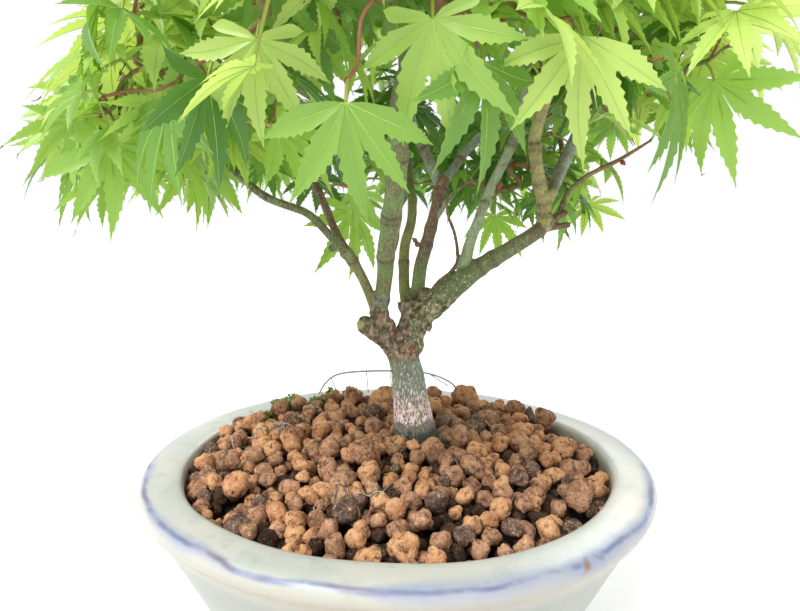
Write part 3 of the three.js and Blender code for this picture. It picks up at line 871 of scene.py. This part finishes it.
def dress_bark(mesh, lines):
    """Pushes the skin in and out along the grain, and writes each corner's colour."""
    points, normals = corner_values(mesh, "co"), corner_values(mesh, "normal")
    limb, share, grain = limb_places(points, lines)
    names = list(lines)

    def on(*wanted):
        return np.isin(limb, [names.index(name) for name in wanted])

    streak = noise_at(grain, 0.95, 1) + 0.55 * noise_at(grain, 2.3, 2)
    pits = noise_at(points / MM, 0.9, 3) + 0.5 * noise_at(points / MM, 2.1, 4)
    plates = noise_at(points / MM * [1, 1, 0.6], 0.8, 6) + 0.6 * pits
    height = (points[:, 2] - RIM_TOP) / MM
    is_trunk = on("trunk", "left_fork", "centre_fork", "cut_stub", "right_fork")
    rough_zone = ramp(height, 31.5, 34) * ramp(height, 55, 51)
    turn = np.arctan2(points[:, 1] - 2 * MM, points[:, 0] - 4.5 * MM)
    crack = bell(turn, -1.72, 0.09) * ramp(height, 10, 6) * is_trunk
    flare = 0.55 * np.sin(3 * turn + 1) * ramp(height, 9, 0)
    flutes = 0.22 * np.sin(7 * turn + 1.5 * np.sin(height / 6)) * ramp(height, 32, 24)
    depth = np.where(is_trunk, 0.16 + 0.16 * rough_zone, 0.05)
    relief = flare + flutes + rough_zone * plates * 0.3
    shift = (streak * 0.6 + pits * 0.4) * depth + is_trunk * relief - 0.7 * crack
    points = points + normals * shift[:, None] * MM
    mesh.vertices.foreach_set("co", points.ravel())

    x = points[:, 0] / MM
    trunk, right_fork, forks = on("trunk"), on("right_fork"), is_trunk * rough_zone
    high, low = ramp(height, 17, 24), bell(height, 13.5, np.where(height > 13.5, 8.0, 4.5))
    crust = on("right_bough") * ramp(x, 37, 41)
    cut_end = on("cut_stub") * ramp(x, -11.4, -12.2)
    blotch = ramp(noise_at(points / MM, 0.16, 9), 0.16, 0.28)
    colour = np.zeros((len(points), 4))
    for name, (_, _, tints, _) in LIMBS.items():
        colour[on(name)] = blend_along(tints, share[on(name)])

    def paint(tint, amount):
        colour[:] = colour + (np.array(tint) - colour) * np.clip(amount, 0, 1)[:, None]

    paint(rgb(158, 130, 122), trunk * 0.85 * low)
    paint(GREY_GREEN, trunk * high * ramp(height, 33, 30) * 0.85)
    paint(rgb(96, 122, 88), trunk * high * ramp(streak, -0.1, 0.3) * 0.45)
    paint(OLIVE, trunk * high * ramp(x, -0.3, -2.8) * 0.5)
    paint(DARK_FOOT, trunk * ramp(height - 2.4 * pits, 9, 6.5))
    paint(rgb(74, 96, 58), trunk * ramp(height, 7, 4) * ramp(x, 8, 11) * 0.8)
    paint(rgb(24, 24, 22), trunk * crack)
    paint(rgb(132, 110, 92), forks * 0.9 * ~right_fork)
    # painted light on the forks: tan highlights on the plates' ridges and dark shade in their crevices,
    # following the relief
    paint(rgb(196, 170, 146), forks * ramp(plates, 0.1, 0.4) * 0.8)
    paint(rgb(56, 44, 36), forks * ramp(plates, -0.14, -0.44) * 0.85)
    paint(MOSSY, forks * ramp(streak, 0.15, 0.45) * 0.7)
    paint(rgb(170, 176, 104), cut_end)
    paint(rgb(70, 58, 44), cut_end * ramp(np.abs(height - 43.8), 1.3, 1.8))
    paint(rgb(128, 134, 138), on("front_bough") * bell(height, 51.5, 1.6) * 0.7)
    paint(rgb(122, 96, 76), crust * ramp(plates - streak * 0.3, -0.25, 0.05) * 0.85)
    paint(rgb(118, 96, 72), blotch * ~is_trunk * 0.45)
    paint(RUST, bell(height, 35.5, 1.8) * bell(x, 3.5, 2.2) * 0.9)
    for name, (line, _, tangents, *_) in lines.items():
        for ring in LIMBS[name][3]:
            at = np.argmin(np.abs(line[:, 2] - RIM_TOP - ring * MM))
            away = np.einsum("ij,j->i", points - line[at], tangents[at]) / MM + 0.5 * pits
            paint(BROWN, on(name) * bell(away, 0, 1.0) * 0.8 * np.clip(0.75 + 0.9 * streak, 0.15, 1))
            paint(rgb(60, 46, 38), on(name) * bell(away, 0.3, 0.28) * 0.6)
        if name.startswith(("right", "left")):
            paint(rgb(150, 148, 128), on(name) * ramp(streak, 0.35, 0.6) * 0.35)
    # painted shade: darker in the grain's grooves, where the skin is pushed in
    paint(colour * 0.72, ramp(streak, -0.15, -0.65) * 0.6)

    fleck = np.maximum(np.clip(1.1 * low + 0.52 * high, 0, 1) * trunk, 0.45 * right_fork)
    fleck *= ramp(height + 1.5 * pits, 6.5, 9.5)
    colour[:, 3] = 1
    bark = mesh.attributes.new("bark", "FLOAT_COLOR", "POINT")
    bark.data.foreach_set("color", colour.astype(np.float32).ravel())
    flecks = mesh.attributes.new("fleck", "FLOAT", "POINT")
    flecks.data.foreach_set("value", fleck.astype(np.float32))
    mesh.polygons.foreach_set("use_smooth", np.ones(len(mesh.polygons), bool))
    mesh.update()


def bark_material():
    """The skin's own colours with fine lines along the grain and, low on the trunk, pale flecks."""
    shader = Shader("maple_bark")
    along = shader.tree.nodes.new("ShaderNodeVectorMath")
    along.operation = "MULTIPLY"
    shader.link(shader.place, along.inputs[0])
    along.inputs[1].default_value = (1, 1, 0.36)
    lines = shader.noise(1900, 4, 0.65, along.outputs[0])
    specks, patch = shader.noise(1900, 3, 0.7), shader.noise(260)
    colour = shader.tint(shader.attribute("bark", "Color"), rgb(206, 208, 180), lines, 0.5, 0.68, 0.3)
    colour = shader.tint(colour, rgb(54, 52, 38), lines, 0.47, 0.3, 0.4)
    colour = shader.tint(colour, rgb(76, 70, 54), patch, 0.5, 0.28, 0.3)
    colour = shader.tint(colour, rgb(52, 44, 34), specks, 0.47, 0.33, 0.4)
    fleck = shader.attribute("fleck", "Fac")
    shape = shader.plus(shader.times(lines, 0.75), shader.times(specks, 0.25))
    edge = shader.minus(0.66, shader.times(fleck, 0.2))
    pale = shader.mix(shader.steps(patch, 0.4, 0.6), rgb(252, 232, 228), rgb(232, 214, 206))
    shown = shader.steps(fleck, 0.05, 0.3)
    colour = shader.tint(colour, pale, shape, edge, shader.plus(edge, 0.07), shown)
    shader.set(Base_Color=colour, Roughness=0.6, Specular_IOR_Level=0.3)
    shader.bump(shader.plus(lines, shader.times(patch, 0.6)), 0.5 * MM, 0.8)
    return shader.material


def make_wood(lines):
    parts = [tube(line, radii, 24) for line, radii, *_ in lines.values()]
    points, faces = ball()
    parts += [(points * knob[3] * MM + at_rim(knob[:3]), faces) for knob in KNOBS]
    mesh = fused(parts, VOXEL)
    dress_bark(mesh, lines)
    woody = [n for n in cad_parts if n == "trunk" or n.endswith(("_fork", "_bough", "_stub"))]
    add_piece("trunk_and_boughs", mesh, bark_material(), woody)


# ---------- the crown's twigs ----------

HANGING_LEAVES = [  # leaves that hang in front: the blade's foot, where it points and faces, size, kind
    ((-9.5, -96, 98), (0.05, 0.1, -1), (0.1, -1, 0.3), 0.93, "leaves_fresh"),
    ((31, -92, 110), (-0.1, 0, -1), (-0.2, -1, 0.5), 0.92, "leaves_lime"),
    ((14, -90, 106), (0.2, 0.05, -1), (0.6, -0.8, 0.3), 0.95, "leaves_mid"),
    ((5, -94, 112), (0.12, 0, -1), (-0.4, -1, 0.4), 0.95, "leaves_spring"),
    ((52, -80, 106), (0.05, -0.1, -1), (0.85, -0.55, 0.2), 1.0, "leaves_mid"),
    ((66, -66, 108), (0.2, -0.2, -1), (-0.8, -0.6, 0.2), 0.9, "leaves_fresh"),
    ((-46, -76, 101), (-0.3, -0.1, -1), (-0.6, -0.8, 0.3), 0.95, "leaves_mid"),
    ((-36, -84, 104), (0.15, 0.1, -1), (0.75, -0.6, 0.2), 0.9, "leaves_deep"),
    ((-66, -58, 94), (0.15, -0.2, -1), (0.4, -0.9, 0.3), 0.85, "leaves_fresh"),
    ((-26, -88, 110), (-0.1, 0.1, -1), (0, -1, 0.5), 0.85, "leaves_lime"),
    ((-12, -4, 86), (-0.2, -0.2, -1), (-0.5, -0.8, 0.2), 0.55, "leaves_fresh"),
]
REAR_SPRAYS = [  # shoots that hang low behind the boughs: x, y, height of the shoot's end, and their kind
    (41, 35, 97, "leaves_deep"), (31, 45, 98, "leaves_deep"), (16, 50, 94, "leaves_mid"),
    (-13, 30, 91, "leaves_fresh"), (51, 30, 93, "leaves_mid"), (66, 10, 95, "leaves_fresh"),
    (-25, 25, 97, "leaves_deep"), (24, 38, 90, "leaves_mid"), (6, 46, 90, "leaves_deep"),
    (36, 42, 88, "leaves_fresh"), (46, 40, 90, "leaves_deep"),
]
UNDERSIDE_LIFTS = {"lower_foliage_right": 8, "lower_foliage_front_right": 10}  # mm: it opens higher here
PLACED = len(REAR_SPRAYS) + len(HANGING_LEAVES)
FOLIAGE = [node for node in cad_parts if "foliage" in node]
SHOOTS = 320
SHOOT_GAP = 12 * MM  # between the ends of neighbouring shoots
CROWN_TOP = 283 * MM  # shoots end below this height
TWIG_STEP = 2.0 * MM
CANOPY_START = 82 * MM  # twigs leave the boughs above this height over the rim
OPEN_MIDDLE = (56 * MM, 46 * MM, 100 * MM)  # half width, half depth and height over the rim kept clear


def in_open_middle(place, margin=0.0):
    """Whether a place is in the clear space round the boughs, under the middle of the crown."""
    wide, deep, high = OPEN_MIDDLE
    across = (place[0] / wide) ** 2 + (place[1] / deep) ** 2
    return across < 1 and place[2] < RIM_TOP + high - 26 * MM * across + margin


def shoot_goals(rng):
    """Where the shoots end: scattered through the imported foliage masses, never close together."""
    boxes = [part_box(node) for node in FOLIAGE]
    volume = np.array([np.prod(np.array(high - low)) for low, high in boxes])
    goals = np.empty((0, 3))
    for _ in range(60000):
        low, high = boxes[rng.choice(len(boxes), p=volume / volume.sum())]
        centre, half = np.array(low + high) / 2, np.array(high - low) / 2
        direction = unit(rng.normal(size=3))
        if direction[2] < -0.55:
            continue
        goal = centre + direction * half * [0.68, 0.68, 0.82] * rng.uniform(0.2, 1) ** 0.5
        if in_open_middle(goal, 22 * MM) or goal[2] > CROWN_TOP:
            continue
        if len(goals) and np.min(np.linalg.norm(goals - goal, axis=1)) < SHOOT_GAP:
            continue
        goals = np.vstack([goals, goal])
        if len(goals) == SHOOTS:
            break
    hanging = at_rim([foot for foot, *_ in HANGING_LEAVES]) + [0, 6 * MM, 5 * MM]
    rear = at_rim([goal for *goal, _ in REAR_SPRAYS])
    return np.vstack([goals, rear, hanging])


def grow_twigs(rng, lines):
    """Grows one twig to each goal from the nearest wood, nearest goals first, so later twigs
    branch from earlier ones. Returns the twigs and, for each place on them, what it grew from."""
    places, headings, parents, chains = [], [], [], []
    for name, (line, _, tangents, *_) in lines.items():
        for place, heading in list(zip(line, tangents))[::4]:
            if place[2] > RIM_TOP + CANOPY_START and name.endswith("_bough"):
                places.append(place)
                headings.append(heading)
                parents.append(-1)
    goals = shoot_goals(rng)
    own_goal = []
    far = np.linalg.norm(goals[:, None] - np.array(places)[None], axis=2)
    best, source = far.min(axis=1), far.argmin(axis=1)
    waiting = np.ones(len(goals), bool)
    while waiting.any():
        goal = int(np.argmin(np.where(waiting, best, np.inf)))
        waiting[goal] = False
        start, heading = places[source[goal]], headings[source[goal]]
        span = goals[goal] - start
        length = np.linalg.norm(span)
        outward = unit(span / length + 0.35 * heading)
        crown_out = unit(goals[goal] - np.array([0, 0, RIM_TOP + 90 * MM]))
        arrive = unit(span / length + 0.45 * crown_out + rng.normal(0, 0.2, 3))
        bend = [start, start + outward * length * 0.35, goals[goal] - arrive * length * 0.3, goals[goal]]
        line = smooth_line(bend, TWIG_STEP)
        parent = source[goal]
        nodes = [parent]
        tangents = unit(np.gradient(line, axis=0))
        for place, heading in zip(line[1:], tangents[1:]):
            places.append(place)
            headings.append(heading)
            parents.append(nodes[-1])
            nodes.append(len(places) - 1)
        chains.append(nodes)
        own_goal.append(goal)
        fresh = np.array(places[-(len(line) - 1):])
        gap = np.linalg.norm(goals[:, None] - fresh[None], axis=2)
        closer = gap.min(axis=1) < best
        source = np.where(closer, gap.argmin(axis=1) + len(places) - len(fresh), source)
        best = np.minimum(best, gap.min(axis=1))
    chains = [chains[i] for i in np.argsort(own_goal)]  # in the goals' order, hanging leaves last
    return np.array(places), np.array(headings), np.array(parents), chains


def carried_shoots(parents, chains):
    """How many shoots each place on the twigs carries."""
    load = np.zeros(len(parents))
    for nodes in chains:
        load[nodes[-1]] += 1
    for node in range(len(parents) - 1, -1, -1):
        if parents[node] >= 0:
            load[parents[node]] += load[node]
    return load


def twig_material():
    shader = Shader("twig_bark")
    streak = shader.steps(shader.noise(420), 0.4, 0.6)
    shader.set(Base_Color=shader.mix(streak, rgb(118, 120, 66), rgb(128, 82, 56)), Roughness=0.6)
    return shader.material


def make_twigs(places, parents, chains):
    load = carried_shoots(parents, chains)
    older, younger = [], []
    for nodes in chains:
        radii = 0.36 * MM * np.maximum(load[nodes], 1) ** 0.4
        radii[0] = radii[1]
        knots = 1 + 0.22 * (np.arange(len(nodes)) % 6 == 5)
        group = older if load[nodes[1]] > 1.5 else younger
        group.append(tube(places[nodes], np.minimum(radii, 1.5 * MM) * knots, 7))
    add_parts("twigs", older, twig_material())
    add_parts("young_twigs", younger, plain("young_twig", rgb(150, 96, 70), 0.5))


# ---------- leaves ----------

LEAF_LENGTH = 24 * MM
LOBE_TURNS = np.radians([0, 33, 68, 108])  # from the middle lobe
LOBE_LENGTHS = [1.0, 0.95, 0.76, 0.42]
SINUS_DEPTH = 0.32  # how far out the notch between two lobes is
LOBE_STATIONS = 14
LOBE_COUNTS = (7, 7, 5, 7, 5, 7, 7, 5, 7, 7, 5, 7)  # one leaf shape for each
LEAF_KINDS = {  # name: slot, face colour, colour of the light through it; from the deepest to the brightest
    "leaves_deep": ("leaves_deep", rgb(78, 120, 60), rgb(96, 144, 42)),
    "leaves_mid": ("leaves_fresh", rgb(110, 152, 72), rgb(134, 180, 56)),
    "leaves_fresh": ("leaves_fresh", rgb(134, 174, 82), rgb(162, 204, 68)),
    "leaves_spring": ("leaves_bright", rgb(160, 194, 98), rgb(188, 220, 88)),
    "leaves_lime": ("leaves_bright", rgb(184, 210, 116), rgb(212, 234, 110)),
}
KIND_RANKS = [0.13, 0.32, 0.55, 0.77]  # the shares of the shoots up to which each kind goes
TRIANGLES_IN_PIECE = 150000


def lobe_outline(turn, length, left, right, bend, sway):
    """One lobe as a row of midrib points with a toothed edge on each side; left and right are the
    notches beside it."""
    axis = np.array([math.sin(turn), math.cos(turn)])
    across = np.array([axis[1], -axis[0]])
    share = np.linspace(0, 1, LOBE_STATIONS + 1) ** 0.92
    start = SINUS_DEPTH * 0.93
    along = start + (length - start) * share
    width = 0.5 * np.linalg.norm(left - right) * (1 - share) ** 1.5 * (1 + 3.2 * share)
    is_tooth = np.arange(LOBE_STATIONS + 1) % 2 == 1
    width *= np.where(is_tooth, 1.2, 0.94)
    lean = np.where(is_tooth, 0.028 * (length - start), 0.0)
    spine = along[:, None] * axis + across * sway * (share**2)[:, None]
    edges = []
    for side, corner in ((-1, left), (1, right)):
        edge = spine + (side * width)[:, None] * across + lean[:, None] * axis
        edge[0] = corner
        edge[-1] = spine[-1]
        edges.append(edge)
    points = np.stack([np.vstack([[0, 0], row]) for row in (edges[0], spine, edges[1])], 1)
    lift = np.abs(np.einsum("ijk,k->ij", points - points[:, 1:2], across)) * 0.42
    height = lift - bend * np.linalg.norm(points, axis=2) ** 2.2
    return np.concatenate([points, height[..., None]], 2)


def leaf_shape(rng, lobes):
    """A leaf a unit long that grows from the origin along +Y, with its face up: the blade and the
    pale ribs, each as points and triangles, and the numbers of the corners at the lobes' tips."""
    order = np.arange(lobes) - (lobes - 1) // 2
    turn = np.sign(order) * LOBE_TURNS[np.abs(order)] + rng.normal(0, 0.04, lobes)
    length = np.array(LOBE_LENGTHS)[np.abs(order)] * rng.uniform(0.9, 1.08, lobes)
    notch_turn = np.concatenate([[turn[0] - 0.42], (turn[:-1] + turn[1:]) / 2, [turn[-1] + 0.42]])
    near = np.concatenate([[length[0] * 0.6], np.minimum(length[:-1], length[1:]), [length[-1] * 0.6]])
    notch = SINUS_DEPTH * np.clip(near, 0.3, 0.95)[:, None]
    notches = notch * np.stack([np.sin(notch_turn), np.cos(notch_turn)], 1)
    bend = rng.uniform(0.06, 0.42)
    row = np.arange(LOBE_STATIONS + 1) * 3
    faces = np.concatenate([[(a, a + 1, a + 4), (a, a + 4, a + 3)] for strip in (0, 1) for a in row + strip])
    blade, ribs, ends = [], [], []
    for i in range(lobes):
        lobe_bend = bend * rng.uniform(0.6, 1.7)
        rows = lobe_outline(turn[i], length[i], notches[i], notches[i + 1], lobe_bend, rng.normal(0, 0.05))
        points = rows.reshape(-1, 3)
        a, b, c = points[faces.T]
        blade.append((points, faces[np.linalg.norm(np.cross(b - a, c - a), axis=1) > 1e-7]))
        ends.append((i + 1) * len(points) - 1)
        if length[i] > 0.5:
            spine = rows[[0, 3, 6, 9, 12, 15], 1] + [0, 0, 0.003]
            ribs.append(tube(spine, np.linspace(0.0066, 0.002, 6), 3, capped=False))
    return joined(blade), joined(ribs), ends


def dry_tip(rng, start, heading):
    """The withered thread that a lobe's tip curls into."""
    curl = unit(rng.normal(size=3) + [0, 0, -0.4])
    t = np.linspace(0, 1, 5)[:, None]
    line = start + rng.uniform(0.8, 2.2) * MM * (heading * t + curl * t**2)
    return tube(line, np.linspace(0.16, 0.05, 5) * MM, 4, capped=False)


def leaf_spots(rng, chains):
    """Where leaf pairs stand: the shoot's end and two places further back, as (place on the twigs,
    turn about the shoot, how many pairs are younger, shoot)."""
    spots = []
    for shoot, nodes in enumerate(chains[:-len(HANGING_LEAVES)]):
        turn = rng.uniform(0, np.pi)
        back = age = 0
        while back < len(nodes) - 2 and age < 3:
            spots.append((nodes[-1 - back], turn, age, shoot))
            back += int(rng.uniform(4, 7))
            turn += np.pi / 2
            age += 1
    return spots


def leaf_axes(axis, normal):
    """A leaf's frame as a matrix whose columns are its side, its length and its face."""
    return np.stack([np.cross(axis, normal), axis, normal], 1)


def place_leaves(rng, places, headings, chains):
    """Every leaf as (stalk line, size, frame, shoot)."""
    leaves = []
    up = np.array([0, 0, 1.0])
    t = np.linspace(0, 1, 5)[:, None]
    for node, turn, age, shoot in leaf_spots(rng, chains):
        heading = headings[node]
        side = unit(np.cross(heading, up) + 1e-6)
        over = np.cross(side, heading)
        for way in (0, np.pi):
            angle = turn + way + rng.normal(0, 0.25)
            across = math.cos(angle) * side + math.sin(angle) * over
            size = LEAF_LENGTH * (rng.uniform(0.55, 0.85) if age == 0 else rng.uniform(0.8, 1.12))
            stalk = size * rng.uniform(0.3, 0.55)
            lead = unit(0.8 * across + 0.55 * heading + 0.2 * up)
            line = places[node] + lead * stalk * t - up * stalk * 0.32 * t**2
            ahead = unit(line[-1] - line[-2])
            flat = unit(ahead * [1, 1, 0] + rng.normal(0, 0.12, 3) * [1, 1, 0])
            # leaves low in the crown hang more, young ones less
            low = ramp(line[-1][2], RIM_TOP + 150 * MM, RIM_TOP + 80 * MM)
            droop = math.radians(np.clip(rng.normal(30 + 26 * low, 17), -5, 84)) * (0.75 if age == 0 else 1)
            axis = flat * math.cos(droop) - up * math.sin(droop)
            normal = unit(up - axis * np.dot(up, axis))
            roll = rng.normal(0, 0.42)
            normal = normal * math.cos(roll) + np.cross(axis, normal) * math.sin(roll)
            leaves.append((line, size, leaf_axes(axis, normal), shoot))
    for shoot, (foot, axis, face, size, _) in enumerate(HANGING_LEAVES, len(chains) - len(HANGING_LEAVES)):
        foot, start, axis = at_rim(foot)[0], places[chains[shoot][-1]], unit(np.array(axis, float))
        line = smooth_line([start, (start + foot) / 2 + [0, 0, 1 * MM], foot], 2 * MM)
        normal = unit(np.array(face) - axis * np.dot(axis, face))
        leaves.append((line, size * LEAF_LENGTH, leaf_axes(axis, normal), shoot))
    return leaves


def leaf_material(name, colour, through):
    """A thin leaf that lets light through."""
    shader = Shader(name)
    shader.set(Base_Color=colour, Roughness=0.38, Specular_IOR_Level=0.5)
    glow = shader.tree.nodes.new("ShaderNodeBsdfTranslucent")
    glow.inputs["Color"].default_value = through
    blend = shader.tree.nodes.new("ShaderNodeMixShader")
    blend.inputs[0].default_value = 0.45
    shader.link(shader.surface.outputs[0], blend.inputs[1])
    shader.link(glow.outputs[0], blend.inputs[2])
    shader.link(blend.outputs[0], shader.output.inputs["Surface"])
    return shader.material


def spray_kinds(rng, goals):
    """One kind of leaf for each shoot: brighter on the outside, on top and in front, deeper inside the crown
    and low at the back, as painted light and shade."""
    centre = np.array([0, 0, RIM_TOP + 120 * MM])
    reach = np.linalg.norm((goals - centre) / [0.085, 0.085, 0.095], axis=1)
    light = 0.9 * (reach - 0.75) + 0.45 * (goals[:, 2] - centre[2]) / 0.1 - 0.4 * goals[:, 1] / 0.1
    light += rng.normal(0, 0.42, len(goals))
    rank = np.argsort(np.argsort(light)) / len(goals)
    kinds = np.array(list(LEAF_KINDS))[np.digitize(rank, KIND_RANKS)]
    kinds[-PLACED:] = [kind for *_, kind in REAR_SPRAYS + HANGING_LEAVES]
    return kinds


def make_leaves(rng, places, headings, chains):
    shapes = [leaf_shape(rng, lobes) for lobes in LOBE_COUNTS]
    leaves = place_leaves(rng, places, headings, chains)
    kind_of = spray_kinds(rng, places[[nodes[-1] for nodes in chains]])
    low, high = np.array(CAD_BOUNDS[0]), np.array(CAD_BOUNDS[1])
    spare = (high - low) * 0.03 + 9 * MM
    underside = [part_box(node)[0].z + (UNDERSIDE_LIFTS.get(node, 0) - 3) * MM for node in FOLIAGE]
    centres = np.array([(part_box(node)[0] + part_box(node)[1]) / 2 for node in FOLIAGE])
    blades = {kind: [] for kind in LEAF_KINDS}
    ribs, stalks, tips = [], [], []
    for line, size, axes, shoot in leaves:
        (points, faces), (rib_points, rib_faces), lobe_ends = shapes[rng.integers(len(shapes))]
        where = line[-1]
        moved = points @ axes.T * size + where
        if np.any(moved < low - spare) or np.any(moved > high + spare):
            continue
        # leaves thin out towards the underside of their mass, and the middle stays clear
        nearest = np.argmin(np.linalg.norm((centres - where) * [1, 1, 0.6], axis=1))
        above = (moved[:, 2].min() - underside[nearest]) / (26 * MM)
        if shoot < len(chains) - PLACED:
            if above < 0 or rng.random() > 0.42 + 0.7 * above or in_open_middle(moved.mean(axis=0)):
                continue
        for end in lobe_ends:
            if rng.random() < 0.1:
                tips.append(dry_tip(rng, moved[end], unit(moved[end] - moved[end - 5])))
        blades[kind_of[shoot]].append((moved, faces))
        ribs.append((rib_points @ axes.T * size + where, rib_faces))
        stalks.append(tube(line, np.linspace(0.42, 0.3, len(line)) * MM, 4, capped=False))
    masses = iter(FOLIAGE)
    for kind, (slot, face, through) in LEAF_KINDS.items():
        material = leaf_material(kind, face, through)
        pieces = math.ceil(len(blades[kind]) * len(blades[kind][0][1]) / TRIANGLES_IN_PIECE)
        for share, group in enumerate(np.array_split(np.arange(len(blades[kind])), pieces)):
            stands_for = [node for node in (next(masses, None) for _ in range(3)) if node]
            add_parts(f"{kind}_{share + 1}", [blades[kind][i] for i in group], material, stands_for)
    add_parts("leaf_ribs", ribs, plain("leaf_rib", rgb(158, 192, 96), 0.5), list(masses))
    add_parts("dry_leaf_tips", tips, plain("dry_leaf_tip", rgb(92, 70, 48), 0.8))
    add_parts("leaf_stalks", stalks, plain("leaf_stalk", rgb(150, 160, 70), 0.5))


RED_BUDS = [((31.4, 5, 87.6), (0.3, -0.6, 0.7)), ((57.4, 6.6, 118.6), (-0.6, -0.4, 0.5)),
            ((58.6, 6.6, 116.8), (0.3, -0.6, -0.5)), ((70.6, 5, 96.6), (0.5, -0.5, -0.6)),
            ((5.4, 9, 69.6), (-0.7, -0.2, 0.6)), ((12, 12.4, 86), (-0.5, -0.7, 0.4))]


def bud(foot, heading, length):
    line = foot + unit(np.array(heading, float)) * length * np.linspace(0, 1, 6)[:, None]
    return tube(line, length * np.array([0.2, 0.34, 0.36, 0.28, 0.15, 0.02]), 8)


def make_buds(rng, places, headings, chains):
    """Small red buds: the few that show on the boughs, and one at the end of most shoots."""
    parts = [bud(at_rim(foot)[0], heading, 2.3 * MM) for foot, heading in RED_BUDS]
    for nodes in chains:
        if rng.random() < 0.7:
            parts.append(bud(places[nodes[-1]], headings[nodes[-1]], rng.uniform(1.0, 1.8) * MM))
    add_parts("buds", parts, plain("red_bud", rgb(142, 66, 56), 0.45))


def make_crown(lines):
    rng = np.random.default_rng(SEED + 1)
    places, headings, parents, chains = grow_twigs(rng, lines)
    make_twigs(places, parents, chains)
    make_leaves(rng, places, headings, chains)
    make_buds(rng, places, headings, chains)


make_camera()
make_studio()
add_piece("pot_glazed", pot_mesh(), glaze_material(), ["pot"])
make_soil()
wood_lines = limb_lines()
make_wood(wood_lines)
make_crown(wood_lines)
